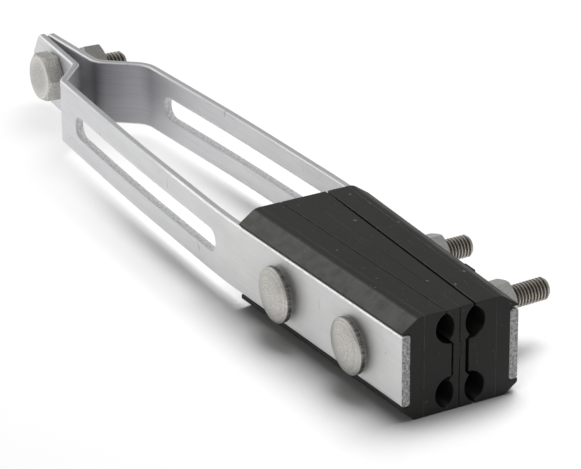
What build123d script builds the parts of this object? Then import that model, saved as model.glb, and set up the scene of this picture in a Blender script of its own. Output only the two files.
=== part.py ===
"""Anchor clamp for bundled overhead cable: two bent straps, four moulded jaw pieces and their bolts.

+X points to the cable end, -Y is the bolt head side, +Y is the nut side and +Z is up.
The origin is the centre of the jaw block's bottom face. All sizes are in millimetres.
"""

from build123d import *
import math
import os

os.makedirs("parts", exist_ok=True)

# Jaw block
block_length = 100.0
block_height = 36.0
flare_angle = 2.1  # each half leans outward by this, in degrees, towards the back
land_half = 5.1  # centre plane to the parting land, at the front
jaw_thickness = 13.2  # parting land to the floor of the strap channel
parting_gaps = {-1: 0.25, 1: 0.8}  # bolt head side and nut side, which stands a little open
centre_gap = 0.2
channel_clearance = 0.5

# Conductor grooves
groove_height = 11.6  # groove centre above and below mid height
jaw_groove_radius = 5.7
jaw_groove_depth = 3.6
plate_groove_radius = 6.6
plate_groove_depth = 3.0
waist_step = 2.4  # middle land stands this far inside the outer lands
waist_clearance = 0.4
waist_ridge = 4.4  # lower edge of the plate groove, below the groove centre

# Outer form of a jaw
crown_run = 6.3  # chamfer at the top, measured outward
crown_round = 5.0
top_lip_edge = 0.6
sole_width = 11.6  # parting land to the chamfer at the bottom
bottom_lip_edge = 1.5
bottom_lip_reaches = {-1: 2.4, 1: 3.2}  # from the channel's floor
lip_edge_round = 0.25
keel_tip_round = 0.7
keel_round = 1.0
channel_round = 0.4
corner_round = 0.3
end_edge = 0.2  # chamfer round both ends of every moulding
end_margin = 5.0  # extra length that is trimmed off square
nub_place = 19.0  # forward of the block's middle
nub_length = 5.0
nub_radius = 1.1
nub_inset = 0.4
nub_rise = 0.5  # stands above the top lip by this

# Centre key between the two inner plates
key_width = 5.4
key_height = 0.5
key_offset = 2.8
key_clearance = 0.15

# Straps
strap_thickness = 3.0
strap_height = 25.0
strap_shifts = {-1: 0.1, 1: -0.4}  # how high each strap lies in its channel, from the middle
strap_edge_round = 0.9
bow_start = 112.0  # front end to the bend behind the block
bow_start_radius = 300.0
bow_middle = 185.0  # front end to the middle of the bow
bow_middle_half = 23.5
bow_middle_radius = 1500.0
crank_start = 251.0  # front end to the first crank bend
crank_half = 19.25
crank_shift = -0.25  # the cranks stand off centre by this
crank_length = 12.6
tip_length = 40.0
tip_gap_half = 2.8  # half the gap between the tips at the second crank bend
tip_touch_half = 0.05  # half the gap at the very end
tip_shift = -2.3
left_bend_radius = 2.5
right_outer_bend_radius = 9.0
right_inner_bend_radius = 6.5
tip_clip_length = 6.0
tip_clip_height = 9.0
slot_start = 116.5  # front end to the near end of the slot
slot_length = 119.5
slot_height = 8.8
slot_drop = 0.25
edge_tolerance = 0.01  # for picking the strap's long edges

# Clamping bolts with round heads and square necks
bolt_spacing = 43.8
bolt_shift = 0.6  # the pair stands forward of the block's middle by this
bolt_drop = 0.55  # below mid height
bolt_leans = {"front": 1.8, "rear": 0.2}  # each hangs askew in its holes, stud end up, in degrees
bolt_radius = 4.0
bolt_length = 75.0
bolt_end_chamfer = 1.2
head_stand_offs = {"front": 1.5, "rear": 2.1}  # the loosened heads stand off the strap by this
head_radius = 9.8
head_rim = 1.9
head_height = 4.4
neck_side = 8.0
neck_length = 4.6
neck_round = 0.8
neck_clearance = 0.2
bolt_hole_radius = 4.5
seat_gap = 0.02

# Nuts and washers of the clamping bolts
thread_clearance = 0.04
nut_across_flats = 13.0
nut_height = 6.5
nut_turns = {"front": 14.0, "rear": 17.0}  # how each nut came to rest, in degrees
bore_chamfer = 0.6
face_share = 0.96  # turned face of a nut or head, as a share of its flats
corner_angle = 30.0
turning_margin = 1.0  # the turning profile runs past the corners by this
nut_stand_off = 6.4  # strap face to nut, as photographed
washer_radius = 8.0
washer_hole_radius = 4.2
washer_thickness = 1.6
spring_washer_radius = 7.4
spring_washer_hole_radius = 4.05
spring_washer_thickness = 2.0
spring_washer_split = 1.2
spring_washer_slant = 25.0

# Hook bolt through the strap tips
hook_bolt_setback = 23.0  # tip end to the bolt
hook_bolt_rise = 1.75  # above mid height
hook_bolt_lean = -2.0  # it hangs askew in its holes, stud end down, in degrees
hook_bolt_radius = 5.0
hook_bolt_length = 30.0
hook_bolt_end_chamfer = 1.2
hook_across_flats = 17.0
hook_head_height = 6.4
hook_nut_height = 8.4
hook_nut_stand_off = 0.8
hook_hole_radius = 5.5
hook_turn = 5.0  # corner of the head, from level
hook_nut_turn = 27.0

# Worked out from the sizes above
half_length = block_length / 2
middle_height = block_height / 2
slope = math.tan(math.radians(flare_angle))
lean_share = math.cos(math.radians(flare_angle))
through_all = 4 * (land_half + jaw_thickness)
bolt_xs = {"front": bolt_shift + bolt_spacing / 2, "rear": bolt_shift - bolt_spacing / 2}
bolt_height = middle_height - bolt_drop
hole_height = bolt_height + neck_clearance - seat_gap  # the necks lie on their holes
tip_end = half_length - crank_start - crank_length - tip_length
hook_x = tip_end + hook_bolt_setback
hook_z = middle_height + hook_bolt_rise


def flared_plane(side):
    """Section plane of one half at the front, with x pointing outward and y up."""
    lean = math.radians(flare_angle)
    return Plane(
        origin=(half_length, side * land_half, middle_height),
        x_dir=(math.sin(lean), side * math.cos(lean), 0),
        z_dir=(side * math.cos(lean), -math.sin(lean), 0),
    )


def outer_face_at(side, x):
    """Distance from the centre plane to one strap's outer face, beside the block."""
    depth = parting_gaps[side] + jaw_thickness + strap_thickness
    return land_half + depth / lean_share + (half_length - x) * slope


def offset_corner(before, corner, after, distance):
    """Corner of a bent strip's other face, at distance to the right of the path."""
    first = (corner - before).normalized()
    second = (after - corner).normalized()
    right = Vector(first.Y, -first.X) + Vector(second.Y, -second.X)
    return corner + right * (distance / (1 + first.dot(second)))


def strap_outline(side, outer_bend, inner_bend):
    """Plan of one strap as a list of outer and inner corners with their radii."""
    front_y = outer_face_at(side, half_length)
    crank_y = crank_half + side * crank_shift
    tip_y = side * tip_shift + strap_thickness
    outer = [
        Vector(half_length, front_y),
        Vector(half_length - bow_start, front_y + bow_start * slope),
        Vector(half_length - bow_middle, bow_middle_half),
        Vector(half_length - crank_start, crank_y),
        Vector(half_length - crank_start - crank_length, tip_y + tip_gap_half),
        Vector(tip_end, tip_y + tip_touch_half),
    ]
    inner = [outer[0] - Vector(0, strap_thickness / lean_share)]
    for before, corner, after in zip(outer, outer[1:], outer[2:]):
        inner.append(offset_corner(before, corner, after, -strap_thickness))
    inner.append(outer[-1] - Vector(0, strap_thickness))
    outer_radii = [bow_start_radius, bow_middle_radius, outer_bend + strap_thickness, inner_bend]
    inner_radii = [
        bow_start_radius - strap_thickness,
        bow_middle_radius - strap_thickness,
        outer_bend,
        inner_bend + strap_thickness,
    ]
    flip = [(corner.X, side * corner.Y) for corner in outer]
    flop = [(corner.X, side * corner.Y) for corner in inner]
    return flip, outer_radii, flop, inner_radii


def tip_face_at(side, x):
    """Y of the outer face of one strap's tip at x, where the hook bolt passes."""
    reach = (x - tip_end) / tip_length
    half = tip_touch_half + (tip_gap_half - tip_touch_half) * reach + strap_thickness
    return tip_shift + side * half


def make_strap(side, outer_bend, inner_bend):
    """Bent strip with a long slot, its front end along the block and its tip at the hook bolt."""
    outer, outer_radii, inner, inner_radii = strap_outline(side, outer_bend, inner_bend)
    middle = middle_height + strap_shifts[side]
    with BuildPart() as strap:
        with BuildSketch(Plane.XY.offset(middle - strap_height / 2)):
            with BuildLine():
                outer_line = FilletPolyline(*outer, radius=outer_radii)
                inner_line = FilletPolyline(*inner, radius=inner_radii)
                Line(outer_line @ 0, inner_line @ 0)
                Line(outer_line @ 1, inner_line @ 1)
            make_face()
        extrude(amount=strap_height)
        long_edges = strap.edges().filter_by(
            lambda edge: abs(abs(edge.center().Z - middle) - strap_height / 2) < edge_tolerance
            and tip_end + strap_edge_round < edge.center().X < half_length - strap_edge_round
        )
        fillet(long_edges, radius=strap_edge_round)
        # The bottom and top corners of the tip are clipped.
        edge = strap_height / 2
        with BuildSketch(Plane.XZ):
            for up in (-1, 1):
                with BuildLine():
                    Polyline(
                        (tip_end, middle + up * (edge - tip_clip_height)),
                        (tip_end + tip_clip_length, middle + up * edge),
                        (tip_end, middle + up * edge),
                        close=True,
                    )
                make_face()
        extrude(amount=through_all, both=True, mode=Mode.SUBTRACT)
        # The cutters run across the whole width, but only this strap is in this part.
        with BuildSketch(Plane.XZ):
            with Locations((half_length - slot_start - slot_length / 2, middle_height - slot_drop)):
                SlotOverall(slot_length, slot_height)
            with Locations((hook_x, hook_z)):
                Circle(hook_hole_radius)
        extrude(amount=through_all, both=True, mode=Mode.SUBTRACT)
        add(neck_holes() if side < 0 else bolt_holes(bolt_hole_radius), mode=Mode.SUBTRACT)
    return strap


def groove_points():
    """Where the jaw groove meets the outer land and the waist, from its centre."""
    inset = jaw_groove_radius - jaw_groove_depth
    at_land = math.sqrt(jaw_groove_radius**2 - inset**2)
    at_waist = math.sqrt(jaw_groove_radius**2 - (waist_step - inset) ** 2)
    return at_land, at_waist


def seat_distance(place):
    """Centre plane to the underside of one clamping bolt's head."""
    return outer_face_at(-1, bolt_xs[place]) + head_stand_offs[place]


def bolt_axis(place):
    """Line through one clamping bolt's middle that it leans about."""
    return Axis((bolt_xs[place], 0, bolt_height), (1, 0, 0))


def bolt_holes(radius):
    """Round bars along both clamping bolts, to cut their holes with."""
    with BuildPart() as bars:
        for place, x in bolt_xs.items():
            with Locations(Location((x, 0, hole_height), (bolt_leans[place], 0, 0))):
                Cylinder(radius, through_all, rotation=(90, 0, 0))
    return bars.part


def neck_holes():
    """Square bars where the necks of both clamping bolts pass, to cut their holes with."""
    width = neck_side + 2 * neck_clearance
    with BuildPart() as bars:
        for place, x in bolt_xs.items():
            reach = neck_length + head_stand_offs[place]
            with Locations(Location((x, 0, hole_height), (bolt_leans[place], 0, 0))):
                with Locations((0, -seat_distance(place), 0)):
                    Box(width, 2 * reach, width)
    return bars.part


def make_jaw(side):
    """Outer jaw, moulded as one piece: grooves inside, strap channel outside."""
    at_land, at_waist = groove_points()
    gap = parting_gaps[side]
    top = block_height / 2
    wall = strap_height / 2 + channel_clearance
    floor = gap + jaw_thickness
    lip = floor + strap_thickness
    keel = floor + bottom_lip_reaches[side]
    waist = gap - waist_step
    with BuildPart() as jaw:
        with BuildSketch(flared_plane(side).offset(side * end_margin)):
            with BuildLine():
                FilletPolyline(
                    (gap, groove_height + at_land),
                    (gap, top),
                    (lip - crown_run, top),
                    (lip, wall + top_lip_edge),
                    (lip, wall),
                    (floor, wall),
                    (floor, -wall),
                    (keel, -wall),
                    (keel, -wall - bottom_lip_edge),
                    (gap + sole_width, -top),
                    (gap, -top),
                    (gap, -groove_height - at_land),
                    radius=[
                        corner_round,
                        crown_round,
                        lip_edge_round,
                        lip_edge_round,
                        channel_round,
                        channel_round,
                        lip_edge_round,
                        keel_tip_round,
                        keel_round,
                        corner_round,
                    ],
                )
                ThreePointArc(
                    (gap, -groove_height - at_land),
                    (gap + jaw_groove_depth, -groove_height),
                    (waist, -groove_height + at_waist),
                )
                Line((waist, -groove_height + at_waist), (waist, groove_height - at_waist))
                ThreePointArc(
                    (waist, groove_height - at_waist),
                    (gap + jaw_groove_depth, groove_height),
                    (gap, groove_height + at_land),
                )
            make_face()
        extrude(amount=-side * (block_length + 2 * end_margin))
        split(bisect_by=Plane.YZ.offset(half_length), keep=Keep.BOTTOM)
        split(bisect_by=Plane.YZ.offset(-half_length), keep=Keep.TOP)
        for end_face in jaw.faces().filter_by(Axis.X):
            chamfer(end_face.edges(), length=end_edge)
        add(bolt_holes(bolt_hole_radius), mode=Mode.SUBTRACT)
        if side < 0:
            # The square necks of the bolts reach through the strap into this jaw.
            add(neck_holes(), mode=Mode.SUBTRACT)
        else:
            # A gate mark stands up from the edge of the top lip.
            nub_y = outer_face_at(side, nub_place) - nub_inset
            nub_z = middle_height + wall + top_lip_edge + nub_rise - nub_radius
            with BuildSketch(Plane.YZ.offset(nub_place - nub_length / 2)):
                with Locations((nub_y, nub_z)):
                    Circle(nub_radius)
            extrude(amount=nub_length)
    return jaw


def make_plate(side, tongue):
    """Inner plate: a wedge with two shallow grooves outside and a key at the centre."""
    top = block_height / 2
    axis_out = plate_groove_radius - plate_groove_depth
    at_land = math.sqrt(plate_groove_radius**2 - axis_out**2)
    ridge = axis_out - math.sqrt(plate_groove_radius**2 - waist_ridge**2)
    waist = -waist_step - waist_clearance
    waist_top = groove_height - waist_ridge - (ridge - waist)
    beyond = -2 * land_half - block_length * slope
    with BuildPart() as plate:
        with BuildSketch(flared_plane(side).offset(side * end_margin)):
            with BuildLine():
                FilletPolyline(
                    (0, -groove_height - at_land),
                    (0, -top),
                    (beyond, -top),
                    (beyond, top),
                    (0, top),
                    (0, groove_height + at_land),
                    radius=corner_round,
                )
                for up in (1, -1):
                    ThreePointArc(
                        (0, up * (groove_height + at_land)),
                        (-plate_groove_depth, up * groove_height),
                        (ridge, up * (groove_height - waist_ridge)),
                    )
                    Line((ridge, up * (groove_height - waist_ridge)), (waist, up * waist_top))
                Line((waist, waist_top), (waist, -waist_top))
            make_face()
        extrude(amount=-side * (block_length + 2 * end_margin))
        split(bisect_by=Plane.YZ.offset(half_length), keep=Keep.BOTTOM)
        split(bisect_by=Plane.YZ.offset(-half_length), keep=Keep.TOP)
        centre_face = Plane.XZ.offset(-side * centre_gap / 2)
        split(bisect_by=centre_face, keep=Keep.BOTTOM if side > 0 else Keep.TOP)
        for end_face in plate.faces().filter_by(Axis.X):
            chamfer(end_face.edges(), length=end_edge)
        if tongue:
            with BuildSketch(centre_face):
                with Locations((0, middle_height + key_offset)):
                    Rectangle(block_length, key_width)
            extrude(amount=-key_height)
        else:
            with BuildSketch(centre_face):
                with Locations((0, middle_height + key_offset)):
                    Rectangle(block_length, key_width + 2 * key_clearance)
            extrude(amount=-key_height, mode=Mode.SUBTRACT)
        add(bolt_holes(bolt_hole_radius), mode=Mode.SUBTRACT)
    return plate


def make_clamping_bolt(place):
    """Round-headed bolt with a square neck, its shank along +Y."""
    x = bolt_xs[place]
    seat = -seat_distance(place)
    end = seat + bolt_length
    with BuildPart() as bolt:
        with BuildSketch(Plane.XY.offset(bolt_height)):
            with BuildLine():
                dome = TangentArc(
                    (x, seat - head_height),
                    (x + head_radius, seat - head_rim),
                    tangent=(1, 0),
                )
                Polyline(
                    dome @ 1,
                    (x + head_radius, seat),
                    (x + bolt_radius, seat),
                    (x + bolt_radius, end - bolt_end_chamfer),
                    (x + bolt_radius - bolt_end_chamfer, end),
                    (x, end),
                    dome @ 0,
                )
            make_face()
        revolve(axis=Axis((x, 0, bolt_height), (0, 1, 0)))
        with BuildSketch(Plane.XZ.offset(-seat)):
            with Locations((x, bolt_height)):
                RectangleRounded(neck_side, neck_side, neck_round)
        extrude(amount=-neck_length)
    return bolt


def make_hexagon(x, y, z, across, height, turn, cut_far):
    """Hexagon along +Y with its corners turned off at y, and at the far face if asked."""
    flat = across / 2 * face_share
    corner = across / math.sqrt(3) + turning_margin
    drop = (corner - flat) * math.tan(math.radians(corner_angle))
    profile = [(x, y), (x + flat, y), (x + corner, y + drop)]
    if cut_far:
        profile += [(x + corner, y + height - drop), (x + flat, y + height)]
    else:
        profile.append((x + corner, y + height))
    profile.append((x, y + height))
    with BuildPart() as hexagon:
        with BuildSketch(Plane.XZ.offset(-y)):
            with Locations((x, z)):
                RegularPolygon(across / 2, 6, major_radius=False, rotation=turn)
        extrude(amount=-height)
        with BuildSketch(Plane.XY.offset(z)):
            with BuildLine():
                Polyline(*profile, close=True)
            make_face()
        revolve(axis=Axis((x, 0, z), (0, 1, 0)), mode=Mode.INTERSECT)
    return hexagon.part


def make_nut(x, y, z, across, height, bolt, turn):
    """Hexagon nut whose near face is at y. The thread itself is left plain."""
    bore = bolt + thread_clearance
    with BuildPart() as nut:
        add(make_hexagon(x, y, z, across, height, turn, True))
        with BuildSketch(Plane.XY.offset(z)):
            with BuildLine():
                Polyline(
                    (x, y),
                    (x + bore + bore_chamfer, y),
                    (x + bore, y + bore_chamfer),
                    (x + bore, y + height - bore_chamfer),
                    (x + bore + bore_chamfer, y + height),
                    (x, y + height),
                    close=True,
                )
            make_face()
        revolve(axis=Axis((x, 0, z), (0, 1, 0)), mode=Mode.SUBTRACT)
    return nut


def make_flat_washer(x, y):
    """Washer round a clamping bolt, with its near face at y."""
    with BuildPart() as washer:
        with BuildSketch(Plane.XZ.offset(-y)):
            with Locations((x, bolt_height)):
                Circle(washer_radius)
                Circle(washer_hole_radius, mode=Mode.SUBTRACT)
        extrude(amount=-washer_thickness)
    return washer


def make_spring_washer(x, y):
    """Ring with one slanting split at the top."""
    radius = (spring_washer_radius + spring_washer_hole_radius) / 2
    with BuildPart() as washer:
        with BuildSketch(Plane.XZ.offset(-y)):
            with Locations((x, bolt_height)):
                Circle(spring_washer_radius)
                Circle(spring_washer_hole_radius, mode=Mode.SUBTRACT)
        extrude(amount=-spring_washer_thickness)
        middle = (x, y + spring_washer_thickness / 2, bolt_height + radius)
        with Locations(Location(middle, (0, 0, spring_washer_slant))):
            Box(spring_washer_split, 3 * spring_washer_thickness, radius, mode=Mode.SUBTRACT)
    return washer


def make_hook_bolt(seat):
    """Hexagon bolt through the strap tips, its head facing -Y."""
    end = seat + hook_bolt_length
    face = seat - hook_head_height
    root = seat - hook_head_height / 2  # the shank starts inside the head
    with BuildPart() as bolt:
        add(make_hexagon(hook_x, face, hook_z, hook_across_flats, hook_head_height, hook_turn, False))
        with BuildSketch(Plane.XY.offset(hook_z)):
            with BuildLine():
                Polyline(
                    (hook_x, root),
                    (hook_x + hook_bolt_radius, root),
                    (hook_x + hook_bolt_radius, end - hook_bolt_end_chamfer),
                    (hook_x + hook_bolt_radius - hook_bolt_end_chamfer, end),
                    (hook_x, end),
                    close=True,
                )
            make_face()
        revolve(axis=Axis((hook_x, 0, hook_z), (0, 1, 0)))
    return bolt


def save(piece, name):
    piece.label = name
    export_step(piece, f"parts/{name}.step")


# Straps and jaw block
save(make_strap(-1, left_bend_radius, left_bend_radius).part, "left_strap")
save(make_strap(1, right_outer_bend_radius, right_inner_bend_radius).part, "right_strap")
save(make_jaw(-1).part, "left_outer_jaw")
save(make_jaw(1).part, "right_outer_jaw")
save(make_plate(-1, True).part, "left_inner_plate")
save(make_plate(1, False).part, "right_inner_plate")

# Clamping bolts with their nuts and washers
for place, x in bolt_xs.items():
    lean = bolt_leans[place]
    tilt = math.hypot(slope, math.sin(math.radians(lean)))  # between washer and strap
    nut_y = outer_face_at(1, x) + nut_stand_off
    washer_y = outer_face_at(1, x) + washer_radius * tilt + seat_gap
    spring_y = nut_y - spring_washer_thickness - seat_gap
    turn = nut_turns[place]
    nut = make_nut(x, nut_y, bolt_height, nut_across_flats, nut_height, bolt_radius, turn)
    pieces = {
        "clamping_bolt": make_clamping_bolt(place),
        "flat_washer": make_flat_washer(x, washer_y),
        "spring_washer": make_spring_washer(x, spring_y),
        "clamping_nut": nut,
    }
    for name, piece in pieces.items():
        save(piece.part.rotate(bolt_axis(place), lean), f"{name}_{place}")

# Hook bolt, whose leaning head bears on the tip where this stands out most, and its nut
hook_corner = hook_across_flats / math.sqrt(3)
bearing_x = hook_x + hook_corner
head_tilt = hook_corner * math.sin(math.radians(abs(hook_bolt_lean)))
hook_axis = Axis((hook_x, 0, hook_z), (1, 0, 0))
hook_seat = tip_face_at(-1, bearing_x) - head_tilt - seat_gap
hook_nut_y = tip_face_at(1, bearing_x) + hook_nut_stand_off
hook_nut = make_nut(
    hook_x, hook_nut_y, hook_z, hook_across_flats, hook_nut_height, hook_bolt_radius, hook_nut_turn
)
save(make_hook_bolt(hook_seat).part.rotate(hook_axis, hook_bolt_lean), "hook_bolt")
save(hook_nut.part.rotate(hook_axis, hook_bolt_lean), "hook_nut")
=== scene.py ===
import math

import bmesh
import bpy
from mathutils import Matrix, Vector


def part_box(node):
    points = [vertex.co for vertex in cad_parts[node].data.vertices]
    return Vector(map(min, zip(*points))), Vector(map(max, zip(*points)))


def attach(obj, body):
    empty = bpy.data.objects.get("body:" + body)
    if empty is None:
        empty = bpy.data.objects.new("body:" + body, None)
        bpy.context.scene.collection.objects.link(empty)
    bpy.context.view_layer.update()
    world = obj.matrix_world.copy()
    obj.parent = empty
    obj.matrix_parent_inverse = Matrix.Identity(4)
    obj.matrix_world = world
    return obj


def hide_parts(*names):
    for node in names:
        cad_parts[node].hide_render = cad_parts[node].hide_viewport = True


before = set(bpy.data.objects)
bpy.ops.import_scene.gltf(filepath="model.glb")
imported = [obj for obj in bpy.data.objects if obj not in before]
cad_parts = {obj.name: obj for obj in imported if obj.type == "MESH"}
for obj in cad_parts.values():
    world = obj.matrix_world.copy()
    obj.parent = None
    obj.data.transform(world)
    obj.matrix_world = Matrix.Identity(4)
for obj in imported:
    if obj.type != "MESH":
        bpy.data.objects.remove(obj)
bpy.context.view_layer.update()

bl_info = {
    "name": "Anchor clamp",
    "version": (1, 0, 0),
    "blender": (4, 5, 0),
    "location": "3D View > Sidebar > Anchor clamp",
    "description": "Finishes the anchor clamp: straps, jaws, threaded bolts and a pale studio",
    "category": "Object",
}

MM = 0.001

# The two jaw halves stand open like a wedge, towards the back.
FLARE = math.radians(2.1)
BLOCK_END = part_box("left_outer_jaw")[1].x
BLOCK_MIDDLE_HEIGHT = 18.0 * MM
LAND_HALF = 5.1 * MM  # centre plane to an inner plate's outer land, at the front
LEFT_JAW_GAP, RIGHT_JAW_GAP = 0.25 * MM, 0.8 * MM  # from there to the jaw

# Where the finishes, the painted light and the painted shade lie. Each pair runs from where a finish starts
# to where it is full.
CHANNEL_ZONE = (16.5 * MM, 15.5 * MM)  # off the block's middle, holds the conductor channels, which get painted shade
STRAP_MIDDLE = -101.8 * MM
STRAP_END = (149.0 * MM, 149.5 * MM)  # along the strap from its middle: the sheared ends
SLOT_HEIGHT = 17.75 * MM
SLOT_EDGE = (4.8 * MM, 4.6 * MM)  # up and down from there: the slots' walls
COOL_STRETCH = (-20 * MM, -190 * MM)  # bluish towards the tips, a painted reflection tint
INNER_SHADE_STRETCH = (-165 * MM, -215 * MM)  # painted shade on the inner faces near the tips
CRANK_SHADE_STRETCH = (-200 * MM, -216 * MM)  # deeper painted shade on those inner faces, in the cranks
SHOULDER_HIGHLIGHT_STRETCH = (-175 * MM, -195 * MM)  # painted highlight on the rounded edges at the tips
HIGHLIGHT_STRETCH = (-115 * MM, -100 * MM)  # painted highlight on the top edges, from behind the block to the front
HIGHLIGHT_HEIGHT = (29.7 * MM, 29.95 * MM)
WEATHERED = (0.0, 5.0 * MM)  # studs, past the centre plane
DRAWN = (0.03, 0.03, 1)  # stretches noise into lines along the straps

# Bolts
AROUND = 48  # points round a bolt
ROWS_PER_TURN = 10  # of the grid that is wound into a thread
THREAD_DEPTH = 0.6  # in pitches
SHARP = math.radians(33)
HEAD_ROUNDING = 0.22 * MM
NECK_ROUNDING = 0.8 * MM
MERGE = 0.004 * MM
CLAMPING_BOLT_SHADE = 0.89  # a little darker than the cross bolt

# Studio: the lamp, the point it faces, and the ways to the glows of the room
LAMP_PLACE = (-0.28, 0.54, 1.5)
LAMP_SIZE = (0.85, 1.3)
LAMP_AIM = (-0.05, 0, 0.02)
REAR_GLOW = (-0.8, -0.4, 0.45)
FRONT_GLOW = (0.77, 0.42, 0.48)
LOW_GLOW = (0.5, -0.87, 0.0)
# The floor turns white far off from its middle, behind the block and on the nuts' side of it.
FLOOR_MIDDLE = (-0.1, 0, 0)
FAR_OFF = (0.3, 0.8)
BEHIND = (-0.09, -0.19)
BESIDE = (0.03, 0.07)
CONTACT_REACH = 30 * MM  # how near the clamp its shadow is deeper
FULL_WHITE = 1.1  # a floor tone that is white under the lamp


# Settings

class StrapSettings(bpy.types.PropertyGroup):
    """Finish of the two bent aluminium straps."""

    tone: bpy.props.FloatVectorProperty(
        name="Tone", description="Colour of the drawn faces", subtype="COLOR",
        size=3, min=0, max=1, default=(0.9, 0.9, 0.895))
    # The bluish tint towards the tips is a painted reflection tint.
    cool_tone: bpy.props.FloatVectorProperty(
        name="Cool tone", description="Bluish colour towards the tips", subtype="COLOR",
        size=3, min=0, max=1, default=(0.87, 0.87, 0.905))
    # Painted shade: the inner faces near the tips are darkened to this tone.
    inner_shade_tone: bpy.props.FloatVectorProperty(
        name="Dull tone", description="Colour of the inner faces near the tips", subtype="COLOR",
        size=3, min=0, max=1, default=(0.36, 0.36, 0.385))
    edge_tone: bpy.props.FloatVectorProperty(
        name="Edge tone", description="Colour of the sheared ends", subtype="COLOR",
        size=3, min=0, max=1, default=(0.46, 0.46, 0.46))
    roughness: bpy.props.FloatProperty(
        name="Roughness", description="Roughness of the drawn faces", subtype="FACTOR",
        min=0, max=1, default=0.55)
    line_spacing: bpy.props.FloatProperty(
        name="Line spacing", description="Usual distance between two drawn lines",
        unit="LENGTH", min=0.1 * MM, default=0.9 * MM)


class MouldingSettings(bpy.types.PropertyGroup):
    """Finish of the four black mouldings."""

    tone: bpy.props.FloatVectorProperty(
        name="Tone", description="Colour of the clean plastic", subtype="COLOR",
        size=3, min=0, max=1, default=(0.016, 0.016, 0.015))
    # The edges are worn as well as highlit, and this tone is also the painted sheen on the left chamfers.
    scuff_tone: bpy.props.FloatVectorProperty(
        name="Scuff tone", description="Colour of rubbed edges, scuffs and mould lines", subtype="COLOR",
        size=3, min=0, max=1, default=(0.115, 0.115, 0.108))
    roughness: bpy.props.FloatProperty(
        name="Roughness", description="Roughness of the clean plastic", subtype="FACTOR",
        min=0, max=1, default=0.55)
    mould_line_offset: bpy.props.FloatProperty(
        name="Mould line offset", description="Distance of a jaw's mould line from its parting face",
        unit="LENGTH", min=0, default=7.9 * MM)
    mould_line_width: bpy.props.FloatProperty(
        name="Mould line width", description="Width of the mould line",
        unit="LENGTH", min=0, default=0.3 * MM)


class FastenerSettings(bpy.types.PropertyGroup):
    """Finish of the bolts, nuts and washers."""

    head_tone: bpy.props.FloatVectorProperty(
        name="Head tone", description="Colour of the bolt heads", subtype="COLOR",
        size=3, min=0, max=1, default=(0.53, 0.515, 0.485))
    nut_tone: bpy.props.FloatVectorProperty(
        name="Nut tone", description="Colour of the nuts and washers", subtype="COLOR",
        size=3, min=0, max=1, default=(0.5, 0.495, 0.48))
    valley_tone: bpy.props.FloatVectorProperty(
        name="Thread valley tone", description="Colour of the dirt in the thread", subtype="COLOR",
        size=3, min=0, max=1, default=(0.17, 0.135, 0.1))
    roughness: bpy.props.FloatProperty(
        name="Roughness", description="Roughness of the steel", subtype="FACTOR",
        min=0, max=1, default=0.4)
    grain_size: bpy.props.FloatProperty(
        name="Grain size", description="Size of the mottling left by forging",
        unit="LENGTH", min=0.1 * MM, default=0.6 * MM)


class ClampingBoltSettings(bpy.types.PropertyGroup):
    """Sizes of the two round-headed bolts through the block."""

    head_radius: bpy.props.FloatProperty(
        name="Head radius", description="Radius of the round head",
        unit="LENGTH", default=9.8 * MM)
    head_height: bpy.props.FloatProperty(
        name="Head height", description="Height of the crown above the seat",
        unit="LENGTH", default=4.4 * MM)
    head_rim: bpy.props.FloatProperty(
        name="Head rim", description="Height of the upright rim",
        unit="LENGTH", default=1.9 * MM)
    neck_side: bpy.props.FloatProperty(
        name="Neck side", description="Side of the square neck",
        unit="LENGTH", default=8.0 * MM)
    neck_length: bpy.props.FloatProperty(
        name="Neck length", description="Length of the square neck",
        unit="LENGTH", default=4.6 * MM)
    length: bpy.props.FloatProperty(
        name="Length", description="Seat of the head to the end of the stud",
        unit="LENGTH", default=75.0 * MM)
    thread_length: bpy.props.FloatProperty(
        name="Thread length", description="Threaded part of the shank",
        unit="LENGTH", default=38.0 * MM)
    radius: bpy.props.FloatProperty(
        name="Thread radius", description="Crest radius of the thread",
        unit="LENGTH", default=3.97 * MM)
    pitch: bpy.props.FloatProperty(
        name="Thread pitch", description="Distance between two crests",
        unit="LENGTH", default=1.25 * MM)
    end_chamfer: bpy.props.FloatProperty(
        name="End chamfer", description="Chamfer at the end of the stud",
        unit="LENGTH", default=0.9 * MM)
    height: bpy.props.FloatProperty(
        name="Height", description="Height of the bolts over the floor, at the centre plane",
        unit="LENGTH", default=17.45 * MM)
    front_seat: bpy.props.FloatProperty(
        name="Front seat", description="Centre plane to the front head's underside",
        unit="LENGTH", default=24.0694 * MM)
    rear_seat: bpy.props.FloatProperty(
        name="Rear seat", description="Centre plane to the rear head's underside",
        unit="LENGTH", default=26.2754 * MM)
    front_lean: bpy.props.FloatProperty(
        name="Front lean", description="How far the loosened front bolt hangs askew",
        subtype="ANGLE", default=math.radians(1.8))
    rear_lean: bpy.props.FloatProperty(
        name="Rear lean", description="How far the loosened rear bolt hangs askew",
        subtype="ANGLE", default=math.radians(0.2))


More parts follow.
